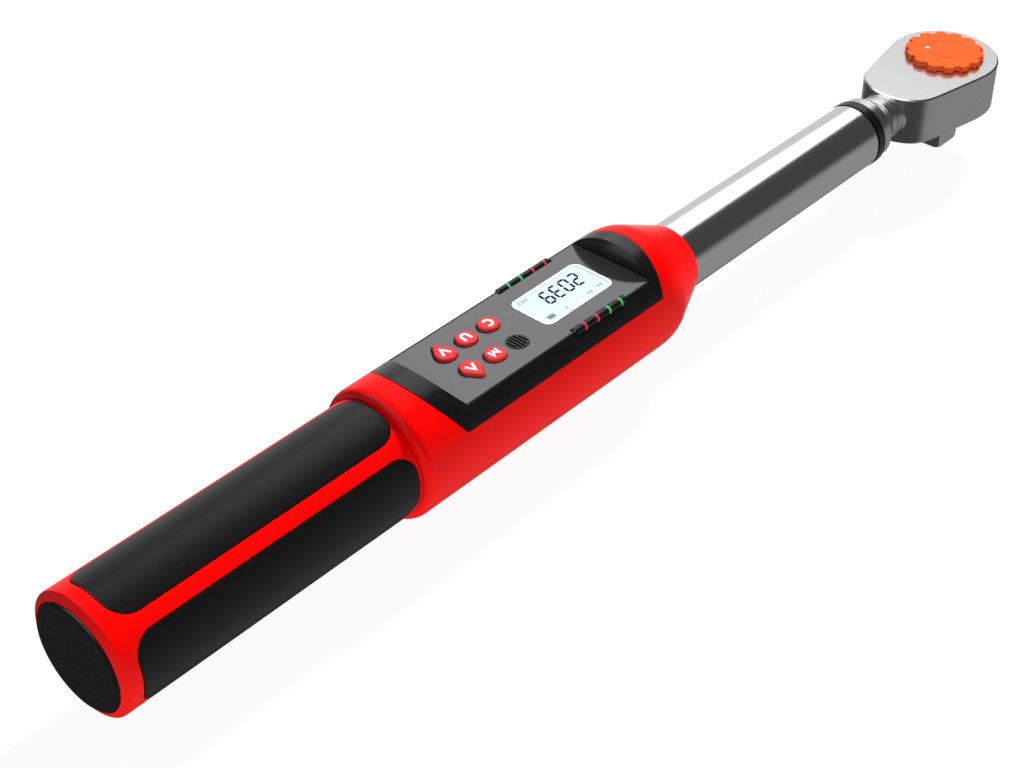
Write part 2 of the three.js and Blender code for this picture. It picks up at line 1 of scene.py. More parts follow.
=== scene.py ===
# Looks of the digital torque wrench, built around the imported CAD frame.
# Lengths are in millimetres of the tool's own frame until a piece is finished: x is the station
# along the tool from the butt's end, z = 0 is its long axis, +z is the display side.
import bpy
import bmesh
import json
import math
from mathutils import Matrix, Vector


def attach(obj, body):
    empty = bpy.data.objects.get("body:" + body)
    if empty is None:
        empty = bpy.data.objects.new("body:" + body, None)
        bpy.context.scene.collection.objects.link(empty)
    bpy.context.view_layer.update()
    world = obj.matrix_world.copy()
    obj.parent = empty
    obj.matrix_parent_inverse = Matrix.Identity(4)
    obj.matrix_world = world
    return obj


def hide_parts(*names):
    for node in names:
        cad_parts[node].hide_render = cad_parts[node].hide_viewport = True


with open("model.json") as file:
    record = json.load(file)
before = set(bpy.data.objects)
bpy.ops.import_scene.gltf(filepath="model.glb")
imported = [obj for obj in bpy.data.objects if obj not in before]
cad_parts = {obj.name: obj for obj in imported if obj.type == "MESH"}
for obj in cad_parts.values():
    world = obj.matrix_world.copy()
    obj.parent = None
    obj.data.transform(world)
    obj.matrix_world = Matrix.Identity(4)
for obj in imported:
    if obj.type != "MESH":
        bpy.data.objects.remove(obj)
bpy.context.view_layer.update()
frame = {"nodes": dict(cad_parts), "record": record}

MM = 0.001
DRIVE_X, DRIVE_END_Z = 400.4, -25.5  # the square drive's axis and the height of its end face
HOUSING_R, GRIP_R, TUBE_R = 21.0, 18.7, 11.87
# The flat cut into the top of the barrel, from wall to wall
FLAT_Z, FLAT_REAR, FLAT_FRONT, FLAT_HALF = 14.2, 127.2, 208.6, 15.47
FRAME_LOW_Z = 8.54  # underside of the black frame
LCD_X = 185.8
BUZZER = (158.7, -6.2)
LIGHTS = (178.0, 183.5, 189.0, 194.5)
HEAD_TOP, HEAD_BOTTOM = 8.7, -9.3
NECK_R = 8.3
SEAT_GAP = 0.15  # clearance of a piece let into another
RED = (0.90, 0.0018, 0.0015)

scene = bpy.context.scene
scene.view_settings.view_transform = "Standard"


# ---------------------------------------------------------------- outlines

def circle(x, y, r, count=64):
    turns = [2 * math.pi * i / count for i in range(count)]
    return [(x + r * math.cos(a), y + r * math.sin(a)) for a in turns]


def rounded_rect(x, y, length, width, r, steps=8):
    points = []
    for sx, sy, start in ((1, -1, -90), (1, 1, 0), (-1, 1, 90), (-1, -1, 180)):
        cx, cy = x + sx * (length / 2 - r), y + sy * (width / 2 - r)
        for i in range(steps + 1):
            a = math.radians(start + 90 * i / steps)
            points.append((cx + r * math.cos(a), cy + r * math.sin(a)))
    return points


def drop(x, y, r, side, tip_r):
    """A circle drawn out to a rounded point towards +y or -y."""
    reach = 4.9  # from the circle's middle to the middle of the point's rounding
    lean = math.asin((r - tip_r) / reach)
    points = []
    for i in range(49):
        a = math.pi - lean + (math.pi + 2 * lean) * i / 48
        points.append((x + r * math.cos(a), y + side * r * math.sin(a)))
    for i in range(13):
        a = lean + (math.pi - 2 * lean) * i / 12
        points.append((x + tip_r * math.cos(a), y + side * (reach + tip_r * math.sin(a))))
    return points if side > 0 else points[::-1]


def pear(nose_r, corner_x, corner_y, rear_x, soften):
    """Outline of the ratchet head: round nose, straight sides, bowed rear, softened corners."""
    reach = DRIVE_X - corner_x
    tangent = math.atan2(corner_y, -reach) - math.acos(nose_r / math.hypot(reach, corner_y))
    sag = corner_x - rear_x
    rear_r = (corner_y ** 2 + sag ** 2) / (2 * sag)
    spread = math.asin(corner_y / rear_r)
    rough = []
    for i in range(161):
        a = tangent * (2 * i / 160 - 1)
        rough.append((DRIVE_X + nose_r * math.cos(a), nose_r * math.sin(a)))
    for i in range(81):
        a = math.pi - spread + 2 * spread * i / 80
        rough.append((rear_x + rear_r + rear_r * math.cos(a), rear_r * math.sin(a)))
    points = evenly(rough, 240)
    for _ in range(soften):
        n = len(points)
        points = [
            tuple((points[i - 1][k] + 2 * points[i][k] + points[(i + 1) % n][k]) / 4 for k in (0, 1))
            for i in range(n)
        ]
    return points


def evenly(points, count):
    """The same closed outline with count points, evenly spaced along it."""
    closed = points + [points[0]]
    lengths = [0.0]
    for (ax, ay), (bx, by) in zip(closed, closed[1:]):
        lengths.append(lengths[-1] + math.hypot(bx - ax, by - ay))
    out, k = [], 0
    for i in range(count):
        at = lengths[-1] * i / count
        while lengths[k + 1] < at:
            k += 1
        step = lengths[k + 1] - lengths[k]
        t = (at - lengths[k]) / step if step else 0.0
        (ax, ay), (bx, by) = closed[k], closed[k + 1]
        out.append((ax + (bx - ax) * t, ay + (by - ay) * t))
    return out


def inset(outline, d):
    """A counter-clockwise outline moved inwards by d."""
    n, out = len(outline), []
    for i, (x, y) in enumerate(outline):
        before = Vector((x, y)) - Vector(outline[i - 1])
        after = Vector(outline[(i + 1) % n]) - Vector((x, y))
        if before.length < 1e-7 or after.length < 1e-7:
            before = after = before if before.length > after.length else after
        before.normalize()
        after.normalize()
        a, b = Vector((-before.y, before.x)), Vector((-after.y, after.x))
        m = (a + b) / max(1 + a.dot(b), 0.4)
        out.append((x + m.x * d, y + m.y * d))
    return out


def filleted(points, steps=5):
    """A profile whose corners given as (x, r, radius) are rounded."""
    out = []
    for i, p in enumerate(points):
        if len(p) < 3 or i in (0, len(points) - 1):
            out.append((p[0], p[1]))
            continue
        here = Vector(p[:2])
        a = here + (Vector(points[i - 1][:2]) - here).normalized() * p[2]
        b = here + (Vector(points[i + 1][:2]) - here).normalized() * p[2]
        for k in range(steps + 1):
            t = k / steps
            q = a * (1 - t) ** 2 + here * 2 * t * (1 - t) + b * t ** 2
            out.append((q.x, q.y))
    return out


# ---------------------------------------------------------------- meshes

def bridge(bm, rings):
    """Faces between each ring of points and the next. A ring of one point is a pole."""
    made = [[bm.verts.new(p) for p in ring] for ring in rings]
    for a, b in zip(made, made[1:]):
        n = max(len(a), len(b))
        for i in range(n):
            j = (i + 1) % n
            if len(a) == 1:
                bm.faces.new((a[0], b[i], b[j]))
            elif len(b) == 1:
                bm.faces.new((a[i], b[0], a[j]))
            else:
                bm.faces.new((a[i], b[i], b[j], a[j]))
    return made


def lathe_x(bm, profile, thetas=128, y=0.0, z=0.0):
    """A solid turned about a line along x, from (station, radius) points."""
    if isinstance(thetas, int):
        thetas = [2 * math.pi * i / thetas for i in range(thetas)]
    rings = []
    for x, r in profile:
        if r < 1e-6:
            rings.append([(x, y, z)])
        else:
            rings.append([(x, y - r * math.sin(a), z + r * math.cos(a)) for a in thetas])
    bridge(bm, rings)


def lathe_z(bm, profile, x, y, count=64):
    """A solid turned about an upright line, from (height, radius) points.
    A radius may be a function of the angle."""
    rings = []
    for z, r in profile:
        if not callable(r) and r < 1e-6:
            rings.append([(x, y, z)])
            continue
        ring = []
        for i in range(count):
            a = 2 * math.pi * i / count
            radius = r(a) if callable(r) else r
            ring.append((x + radius * math.cos(a), y + radius * math.sin(a), z))
        rings.append(ring)
    bridge(bm, rings)


def slab(bm, outline, levels, holes=()):
    """A plate. Levels are (how far the outline is drawn in, height), from the bottom face up."""
    ends = [[], []]
    for loop, sign in [(outline, 1)] + [(hole, -1) for hole in holes]:
        rings = [[(px, py, z) for px, py in inset(loop, sign * d)] for d, z in levels]
        made = bridge(bm, rings)
        for k, ring in ((0, made[0]), (1, made[-1])):
            ends[k].append(ring)
    for loops in ends:
        if len(loops) == 1:
            bm.faces.new(loops[0])
            continue
        edges = []
        for ring in loops:
            for i, v in enumerate(ring):
                edges.append(bm.edges.get((ring[i - 1], v)))
        bmesh.ops.triangle_fill(bm, use_beauty=True, edges=edges)


def ribbon(bm, points, width, low, high):
    """A flat stroke of even width along a line of points."""
    left, right = [], []
    for i, p in enumerate(points):
        here = Vector(p)
        before = here - Vector(points[i - 1]) if i else None
        after = Vector(points[i + 1]) - here if i < len(points) - 1 else None
        before = (before if before is not None else after).normalized()
        after = (after if after is not None else before).normalized()
        a, b = Vector((-before.y, before.x)), Vector((-after.y, after.x))
        m = (a + b) / max(1 + a.dot(b), 0.5) * width / 2
        left.append((here + m)[:])
        right.append((here - m)[:])
    outline = right + left[::-1]
    slab(bm, outline, [(0, low), (0, high)])


def finish_piece(name, bm, material, body, nodes=(), angle=35, keep_islands=False):
    """Turns the working mesh into a piece in metres that rides on a body, and hides the CAD nodes given.
    Edges sharper than the angle stay sharp. Islands that touch are not welded if kept."""
    if not keep_islands:
        bmesh.ops.remove_doubles(bm, verts=bm.verts, dist=1e-4)
        bmesh.ops.dissolve_degenerate(bm, dist=1e-5, edges=bm.edges)
    bmesh.ops.recalc_face_normals(bm, faces=bm.faces)
    for v in bm.verts:
        v.co = ((v.co.x - DRIVE_X) * MM, v.co.y * MM, (v.co.z - DRIVE_END_Z) * MM)
    mesh = bpy.data.meshes.new(name)
    bm.to_mesh(mesh)
    bm.free()
    for face in mesh.polygons:
        face.use_smooth = True
    mesh.set_sharp_from_angle(angle=math.radians(angle))
    mesh.materials.append(material)
    piece = bpy.data.objects.new(name, mesh)
    scene.collection.objects.link(piece)
    weighted = piece.modifiers.new("flat_faces", "WEIGHTED_NORMAL")
    weighted.keep_sharp = True
    weighted.weight = 80
    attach(piece, body)
    if nodes:
        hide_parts(*nodes)
    return piece


# ---------------------------------------------------------------- materials

def finish(name, color, roughness, metallic=0.0, grain=900, stretch=(1, 1, 1), tone=0.05,
           rough_change=0.06, bump=0.15, bump_depth=0.00002, fine=4000, edge=0.0, sockets=None):
    """A procedural surface: colour and roughness vary with one noise, and a finer one gives the bump.
    Its edge setting lightens the colour of sharp edges: partly wear from handling, partly a painted highlight
    along them."""
    mat = bpy.data.materials.new(name)
    mat.use_nodes = True
    nodes, links = mat.node_tree.nodes, mat.node_tree.links
    shader = nodes["Principled BSDF"]
    coords = nodes.new("ShaderNodeTexCoord")
    mapping = nodes.new("ShaderNodeMapping")
    mapping.inputs["Scale"].default_value = stretch
    links.new(coords.outputs["Object"], mapping.inputs["Vector"])
    broad = nodes.new("ShaderNodeTexNoise")
    broad.inputs["Scale"].default_value = grain
    broad.inputs["Detail"].default_value = 5
    broad.inputs["Roughness"].default_value = 0.6
    links.new(mapping.outputs["Vector"], broad.inputs["Vector"])
    shade = nodes.new("ShaderNodeMix")
    shade.data_type = "RGBA"
    shade.inputs["A"].default_value = [c * (1 - tone) for c in color] + [1]
    shade.inputs["B"].default_value = [min(1, c * (1 + tone)) for c in color] + [1]
    links.new(broad.outputs["Fac"], shade.inputs["Factor"])
    color_out = shade.outputs["Result"]
    # Sharp edges are lightened in colour: partly wear, partly a painted highlight line along them.
    if edge:
        geometry = nodes.new("ShaderNodeNewGeometry")
        edge_wear_and_highlight = nodes.new("ShaderNodeMapRange")
        edge_wear_and_highlight.inputs["From Min"].default_value = 0.52
        edge_wear_and_highlight.inputs["From Max"].default_value = 0.62
        edge_wear_and_highlight.inputs["To Max"].default_value = edge
        links.new(geometry.outputs["Pointiness"], edge_wear_and_highlight.inputs["Value"])
        lighter = nodes.new("ShaderNodeMix")
        lighter.data_type = "RGBA"
        lighter.inputs["B"].default_value = [min(1, c * 0.6 + 0.4) for c in color] + [1]
        links.new(edge_wear_and_highlight.outputs["Result"], lighter.inputs["Factor"])
        links.new(color_out, lighter.inputs["A"])
        color_out = lighter.outputs["Result"]
    links.new(color_out, shader.inputs["Base Color"])
    rough = nodes.new("ShaderNodeMapRange")
    rough.inputs["From Min"].default_value = 0.3
    rough.inputs["From Max"].default_value = 0.7
    rough.inputs["To Min"].default_value = max(0.02, roughness - rough_change)
    rough.inputs["To Max"].default_value = min(1.0, roughness + rough_change)
    links.new(broad.outputs["Fac"], rough.inputs["Value"])
    links.new(rough.outputs["Result"], shader.inputs["Roughness"])
    detail = nodes.new("ShaderNodeTexNoise")
    detail.inputs["Scale"].default_value = fine
    detail.inputs["Detail"].default_value = 3
    links.new(mapping.outputs["Vector"], detail.inputs["Vector"])
    relief = nodes.new("ShaderNodeBump")
    relief.inputs["Strength"].default_value = bump
    relief.inputs["Distance"].default_value = bump_depth
    links.new(detail.outputs["Fac"], relief.inputs["Height"])
    links.new(relief.outputs["Normal"], shader.inputs["Normal"])
    shader.inputs["Metallic"].default_value = metallic
    for key, value in (sockets or {}).items():
        shader.inputs[key].default_value = value
    return mat


def lit(color, strength, **more):
    """Socket values of a surface that glows by itself."""
    return {"Emission Color": (*color, 1), "Emission Strength": strength, **more}


LOOK = {
    "red_plastic": finish("red_plastic", RED, 0.36, tone=0.03, grain=700, bump=0.08,
                          sockets={"Specular IOR Level": 0.11}),
    "pad_rubber": finish("pad_rubber", (0.0055, 0.0055, 0.006), 0.38, tone=0.25, grain=1500, fine=5200,
                         bump=0.3, bump_depth=0.00003, sockets={"Specular IOR Level": 0.42}),
    "black_plastic": finish("black_plastic", (0.006, 0.006, 0.0065), 0.27, tone=0.15, grain=900, bump=0.015,
                            rough_change=0.02, sockets={"Specular IOR Level": 0.55}),
    "faceplate_grey": finish("faceplate_grey", (0.138, 0.139, 0.142), 0.55, tone=0.24, grain=2600, fine=4200,
                             bump=0.3, bump_depth=0.00003, sockets={"Specular IOR Level": 0.3}),
    "white_plastic": finish("white_plastic", (0.93, 0.95, 0.95), 0.35, tone=0.02),
    # The window glass glows faintly by itself: a painted glow that makes it look lit.
    "lcd_glass": finish("lcd_glass", (0.55, 0.70, 0.81), 0.3, tone=0.02, bump=0.02, grain=300,
                        sockets=lit((0.78, 0.9, 1.0), 0.1, **{
                            "Specular IOR Level": 0.3, "Coat Weight": 0.2, "Coat Roughness": 0.08})),
    "lcd_module": finish("lcd_module", (0.6, 0.72, 0.8), 0.4, tone=0.03),
    "lcd_ink": finish("lcd_ink", (0.004, 0.006, 0.02), 0.6, tone=0.15, sockets={"Specular IOR Level": 0.1}),
    "lcd_faint": finish("lcd_faint", (0.30, 0.42, 0.55), 0.35, tone=0.08),
    "board": finish("board", (0.015, 0.16, 0.06), 0.4, tone=0.3, grain=1200),
    "key_red": finish("key_red", (0.72, 0.028, 0.03), 0.42, tone=0.05, grain=1400, bump=0.12,
                      sockets={"Specular IOR Level": 0.4}),
    "key_sign": finish("key_sign", (0.93, 0.93, 0.93), 0.5, tone=0.03),
    "light_red": finish("light_red", (0.55, 0.03, 0.05), 0.25, tone=0.05,
                        sockets=lit((1.0, 0.05, 0.08), 0.16)),
    "light_green": finish("light_green", (0.04, 0.42, 0.08), 0.25, tone=0.05,
                          sockets=lit((0.06, 1.0, 0.15), 0.16)),
    # Both steels get lighter sharp edges: partly wear, partly a painted highlight.
    "steel": finish("steel", (0.95, 0.97, 0.975), 0.17, 1.0, grain=1400, stretch=(1, 2, 2), tone=0.08,
                    rough_change=0.04, fine=3800, bump=0.10, bump_depth=0.00002, edge=0.3),
    "satin_steel": finish("satin_steel", (0.83, 0.865, 0.87), 0.3, 1.0, grain=2600, tone=0.24,
                          rough_change=0.05, fine=4200, bump=0.40, bump_depth=0.00003, edge=0.35),
    "brass": finish("brass", (0.7, 0.5, 0.2), 0.3, 1.0, tone=0.1),
    "gauge_film": finish("gauge_film", (0.55, 0.27, 0.05), 0.35, tone=0.1),
    "cell_sleeve": finish("cell_sleeve", (0.03, 0.12, 0.4), 0.3, tone=0.1),
    "orange_plastic": finish("orange_plastic", (1.0, 0.112, 0.008), 0.5, tone=0.05, grain=1500, fine=4200,
                             bump=0.22, bump_depth=0.00003, sockets={"Specular IOR Level": 0.35}),
    "dial_dot": finish("dial_dot", (0.95, 0.72, 0.55), 0.5, tone=0.05),
}


# ---------------------------------------------------------------- grip

PAD_FROM, PAD_TO, PAD_CORNER = 6.4, 104.7, 7.0
PAD_MIDDLE, PAD_HALF_LENGTH = (PAD_FROM + PAD_TO) / 2, (PAD_TO - PAD_FROM) / 2
PAD_HALF_WIDTH = math.radians(37.2) * GRIP_R
CELL_HALF = math.radians(45) * GRIP_R
GRIP_FROM, GRIP_TO = 2.6, 105.3
LONG, SHORT, CORNER = 10, 8, 8  # points on each side and corner of a pad


def pad_outline(d):
    """The pad's rounded outline drawn in by d, as (station, arc length) points."""
    a, b = PAD_HALF_LENGTH - d, max(PAD_HALF_WIDTH - d, 0.0)
    r = min(max(PAD_CORNER - d, 0.0), b)
    points = []
    corners = [(-1, -1), (1, -1), (1, 1), (-1, 1)]
    for k, count in enumerate((LONG, SHORT, LONG, SHORT)):
        (ux, uy), (vx, vy) = corners[k], corners[(k + 1) % 4]
        along_x = k % 2 == 0
        start = (ux * (a - r), uy * b) if along_x else (ux * a, uy * (b - r))
        end = (vx * (a - r), vy * b) if along_x else (vx * a, vy * (b - r))
        for i in range(count):
            t = i / count
            points.append((start[0] + (end[0] - start[0]) * t, start[1] + (end[1] - start[1]) * t))
        cx, cy = vx * (a - r), vy * (b - r)
        for i in range(CORNER):
            turn = math.radians(-90 + 90 * k + 90 * i / CORNER)
            points.append((cx + r * math.cos(turn), cy + r * math.sin(turn)))
    return [(PAD_MIDDLE + x, s) for x, s in points]


def cell_outline():
    """The quarter of the grip round a pad, with a point for each of the pad's points."""
    x0, x1 = GRIP_FROM - PAD_MIDDLE, GRIP_TO - PAD_MIDDLE
    a, b = PAD_HALF_LENGTH - PAD_CORNER, PAD_HALF_WIDTH - PAD_CORNER
    corners = [(x0, -CELL_HALF), (x1, -CELL_HALF), (x1, CELL_HALF), (x0, CELL_HALF)]
    starts = [(-a, -CELL_HALF), (x1, -b), (a, CELL_HALF), (x0, b)]
    ends = [(a, -CELL_HALF), (x1, b), (-a, CELL_HALF), (x0, -b)]
    points = []
    for k, count in enumerate((LONG, SHORT, LONG, SHORT)):
        (sx, sy), (ex, ey) = starts[k], ends[k]
        for i in range(count):
            points.append((sx + (ex - sx) * i / count, sy + (ey - sy) * i / count))
        corner, after = corners[(k + 1) % 4], starts[(k + 1) % 4]
        for i in range(CORNER):
            t = i / (CORNER / 2)
            (ax, ay), (bx, by) = ((ex, ey), corner) if t <= 1 else (corner, after)
            t = t if t <= 1 else t - 1
            points.append((ax + (bx - ax) * t, ay + (by - ay) * t))
    return [(PAD_MIDDLE + x, s) for x, s in points]


def wrap(points, turn, r):
    """(station, arc length) points laid round the grip at a radius, from turn degrees off the top."""
    out = []
    for x, s in points:
        a = math.radians(turn) + s / GRIP_R
        out.append((x, -r * math.sin(a), r * math.cos(a)))
    return out


PADS = {"top": 0, "near": 90, "bottom": 180, "far": 270}
RECESS_R, PAD_UNDER_R = 17.05, 17.2
# Distances from the rim of the rings that close a pad and its recess
FLOOR_STEPS = [1.3, 2.6, 3.9, 5.2, 6.5, 7.8, 9.1, 10.4, 11.4, PAD_HALF_WIDTH]


def build_grip():
    """The red grip, made of four quarters with a pad recess each, its pads and the battery cap."""
    bm = bmesh.new()
    cell = cell_outline()
    rim = pad_outline(-0.5)
    for turn in PADS.values():
        rings = []
        for t in (0, 1 / 3, 2 / 3):
            between = [(p[0] + (q[0] - p[0]) * t, p[1] + (q[1] - p[1]) * t) for p, q in zip(cell, rim)]
            rings.append(wrap(between, turn, GRIP_R))
        for d, r in [(-0.5, GRIP_R), (-0.28, 18.66), (-0.17, 18.52), (-0.15, 18.3), (-0.15, RECESS_R)]:
            rings.append(wrap(pad_outline(d), turn, r))
        for d in FLOOR_STEPS:
            rings.append(wrap(pad_outline(d), turn, RECESS_R))
        bridge(bm, rings)
    butt = sorted({round(s, 9) for x, s in cell if abs(x - GRIP_FROM) < 1e-6})[:-1]
    thetas = [math.radians(turn) + s / GRIP_R for turn in PADS.values() for s in butt]
    # The chamfered butt, the cap's seat, the battery hole, the bar's passage and the end in the barrel
    profile = filleted([
        (GRIP_FROM, GRIP_R), (1.9, GRIP_R, 0.5), (0.5, 16.3, 0.3), (3.2, 16.3), (3.2, 13.2), (14, 13.2),
        (14, 12.4), (71, 12.4), (71, 8.3), (117, 8.3), (117, 16.6), (GRIP_TO, 16.6), (GRIP_TO, GRIP_R),
    ])
    lathe_x(bm, profile, thetas)
    finish_piece("fine_grip_handle", bm, LOOK["red_plastic"], "handle", ["grip_handle"])
    for side, turn in PADS.items():
        bm = bmesh.new()
        rings = [wrap(pad_outline(d), turn, PAD_UNDER_R) for d in reversed(FLOOR_STEPS)]
        for d, r in [(0.15, PAD_UNDER_R), (0.0, 17.35), (0.0, 18.3), (0.05, 18.5), (0.18, 18.64),
                     (0.45, GRIP_R)]:
            rings.append(wrap(pad_outline(d), turn, r))
        rings += [wrap(pad_outline(d), turn, GRIP_R) for d in FLOOR_STEPS]
        bridge(bm, rings)
        node = "grip_pad_" + side
        finish_piece("fine_" + node, bm, LOOK["pad_rubber"], "handle", [node])

    bm = bmesh.new()
    lathe_x(bm, filleted([
        (0, 0), (0, 16, 0.75), (2.9, 16, 0.2), (2.9, 12.9), (4.6, 12.9), (4.6, 11.8), (6.4, 11.8),
        (6.4, 12.9), (12.6, 12.9, 0.5), (12.6, 10.6), (3.6, 10.6), (3.6, 0),
    ]))
    finish_piece("fine_battery_cap", bm, LOOK["black_plastic"], "cap", ["battery_cap"])


# ---------------------------------------------------------------- housing and display frame

def rear_edge(z):
    """Station of the black frame's slanted rear edge at a height."""
    return 115.1 + 0.7 * (HOUSING_R - z)


def front_edge(z):
    """Station of the black frame's slanted front edge at a height."""
    return 214.5 - 0.3 * (HOUSING_R - z)


def split_sweep(bm, sections, split, closed):
    """Joins sections of (rear outer, front outer, front inner, rear inner) points.
    Where split says so, the rear and the front are two bars; elsewhere one."""
    made = [[[bm.verts.new(p) for p in part] for part in section] for section in sections]

    def tie(a, b):
        n = len(a)
        for i in range(n):
            j = (i + 1) % n
            if len({a[i], b[i], b[j], a[j]}) == 4:
                bm.faces.new((a[i], b[i], b[j], a[j]))

    count = len(made) if closed else len(made) - 1
    for k in range(count):
        a, b = made[k], made[(k + 1) % len(made)]
        if split[k]:
            tie(a[0] + a[3], b[0] + b[3])
            tie(a[1] + a[2], b[1] + b[2])
        else:
            tie(a[0] + a[1] + a[2] + a[3], b[0] + b[1] + b[2] + b[3])
    for k, section in enumerate(made):
        before = split[k - 1] if k or closed else False
        after = split[k] if k < len(split) else False
        if before != after:
            bm.faces.new((section[0][-1], section[1][0], section[2][-1], section[3][0]))


BARREL_FROM, BARREL_TO = 105.6, 237.9
SHOULDER_R, WALL_IN_R, TUBE_HOLE_R = 18.9, 17.8, 12.02
OPENING_STEPS, ROUND_STEPS = 48, 72  # sections across the frame's opening and round the rest


def build_housing():
    """The red barrel: a closed ring of sections, cut in two bars where the frame is let in."""
    edge_turn = math.acos((FRAME_LOW_Z - SEAT_GAP) / HOUSING_R)
    shoulder = [(BARREL_FROM, SHOULDER_R)]
    for i in range(1, 13):
        t = math.radians(90 * i / 12)
        shoulder.append((BARREL_FROM + 3.2 * (1 - math.cos(t)), SHOULDER_R + 2.1 * math.sin(t)))
    shoulder.append((110.5, HOUSING_R))
    # The nose: a soft turn, a straight taper and a small rounding at the tube
    nose = [(215.4, 20.985), (216.4, 20.93), (217.5, 20.82), (218.6, 20.66), (219.7, 20.44), (220.7, 20.18),
            (221.6, 19.88), (222.4, 19.55), (223.1, 19.2), (224.0, 18.8), (228.3, 16.83), (232.6, 14.84),
            (236.5, 13.05), (237.2, 12.74), (237.7, 12.52), (BARREL_TO, 12.3)]
    turns = [edge_turn * (2 * i / OPENING_STEPS - 1) for i in range(OPENING_STEPS)]
    turns += [edge_turn + 2 * (math.pi - edge_turn) * i / ROUND_STEPS for i in range(ROUND_STEPS)]
    split = [True] * OPENING_STEPS + [False] * ROUND_STEPS
    sections = []
    for k, a in enumerate(turns):
        c = math.cos(abs(a) if k <= OPENING_STEPS else edge_turn)
        xr, xf = rear_edge(HOUSING_R * c) - SEAT_GAP, front_edge(HOUSING_R * c) + SEAT_GAP
        xr_in, xf_in = rear_edge(WALL_IN_R * c) - SEAT_GAP, front_edge(WALL_IN_R * c) + SEAT_GAP
        dip = 1.0 if 0 < k < OPENING_STEPS else 0.0  # the opening's edge is rounded off by this share
        soft_r, edge_r = HOUSING_R - 0.06 * dip, HOUSING_R - 0.25 * dip

        def at(x, r):
            return (x, -r * math.sin(a), r * math.cos(a))

        rear = [at(x, r) for x, r in shoulder]
        rear += [at(xr - 0.3, HOUSING_R), at(xr - 0.1, soft_r), at(xr, edge_r)]
        front = [at(xf, edge_r), at(xf + 0.1, soft_r), at(xf + 0.3, HOUSING_R)]
        front += [at(x, r) for x, r in nose]
        front_in = [at(BARREL_TO, TUBE_HOLE_R), at(215.5, TUBE_HOLE_R), at(215.2, WALL_IN_R),
                    at(xf_in, WALL_IN_R)]
        rear_in = [at(xr_in, WALL_IN_R), at(xr_in - 1.2, 16.8), at(BARREL_FROM, 16.8)]
        sections.append((rear, front, front_in, rear_in))
    bm = bmesh.new()
    split_sweep(bm, sections, split, True)
    finish_piece("fine_display_housing", bm, LOOK["red_plastic"], "handle",
                 ["display_housing"])


def build_frame():
    """The black frame round the faceplate, with a wall at each end and a tray under the faceplate."""
    seat_rear, seat_front, seat_half = 127.35, 208.45, 15.15  # the well the faceplate lies in
    last = math.acos(FRAME_LOW_Z / HOUSING_R)
    seat_turn, flat_turn = math.asin(seat_half / HOUSING_R), math.asin(FLAT_HALF / HOUSING_R)
    half = [seat_turn * i / 20 for i in range(21)] + [flat_turn]
    half += [flat_turn + (last - flat_turn) * i / 10 for i in range(1, 11)]
    turns = [-a for a in reversed(half[1:])] + half
    base = FRAME_LOW_Z
    rear_low, front_low = rear_edge(base), front_edge(base)
    sections, split = [], []
    for k, a in enumerate(turns):
        y, z = HOUSING_R * math.sin(a), HOUSING_R * math.cos(a)
        low = min(z, FLAT_Z)
        rise = max(z - FLAT_Z, 0.0)
        rear_top, front_top = FLAT_REAR - 0.755 * rise, FLAT_FRONT + 0.102 * rise
        # Each wall meets the flat through a small fillet
        fillet = min(rise, 0.8)
        rear = [(rear_edge(z), z), (rear_top, z), (FLAT_REAR - 0.3 * fillet, low + 0.4 * fillet),
                (FLAT_REAR - 0.06 * fillet, low + 0.1 * fillet), (seat_rear, low)]
        front = [(seat_front, low), (FLAT_FRONT + 0.02 * fillet, low + 0.1 * fillet),
                 (FLAT_FRONT + 0.05 * fillet, low + 0.4 * fillet), (front_top, z), (front_edge(z), z)]
        rear_in = [(seat_rear, base), (FLAT_REAR, base), (FLAT_REAR, base),
                   (max(rear_top, rear_low), base), (rear_low, base)]
        front_in = [(front_low, base), (min(front_top, front_low), base), (FLAT_FRONT, base),
                    (FLAT_FRONT, base), (seat_front, base)]
        sections.append(tuple([(x, -y, h) for x, h in part] for part in (rear, front, front_in, rear_in)))
        if k < len(turns) - 1:
            middle = (a + turns[k + 1]) / 2
            split.append(abs(middle) < seat_turn)
    bm = bmesh.new()
    split_sweep(bm, sections, split, False)
    seat_holes = [key_outline(key, KEY_GAP) for key in KEYS]
    seat_holes += [rounded_rect(LCD_X, 0, 27, 12.8, 1.2), circle(*BUZZER, 3.0)]
    slab(bm, rounded_rect(167.9, 0, 81.06, 30.26, 0.1, 2), [(0, 12.4), (0, 13.6)], seat_holes)
    finish_piece("fine_display_frame", bm, LOOK["black_plastic"], "handle",
                 ["display_frame"], angle=30)


# ---------------------------------------------------------------- faceplate, display and keys

KEYS = [  # tip is the side a drop-shaped key points to, and 0 for a round one
    {"name": "key_clear", "x": 159.0, "y": 5.7, "tip": 0},
    {"name": "key_unit", "x": 149.5, "y": 5.7, "tip": 0},
    {"name": "key_mode", "x": 149.5, "y": -5.7, "tip": 0},
    {"name": "key_down", "x": 140.0, "y": 4.9, "tip": 1},
    {"name": "key_up", "x": 140.0, "y": -4.9, "tip": -1},
]
KEY_R, KEY_TIP_R, KEY_GAP = 3.42, 0.55, 0.25


def key_outline(key, grow):
    """A key's outline, larger all round by grow."""
    if key["tip"]:
        return drop(key["x"], key["y"], KEY_R + grow, key["tip"], KEY_TIP_R + grow)
    return circle(key["x"], key["y"], KEY_R + grow)


def reading(x, y):
    """Turns (right, up) of a sign that is read from the head end into station and side."""
    return lambda u, v: (x - u, y - v)


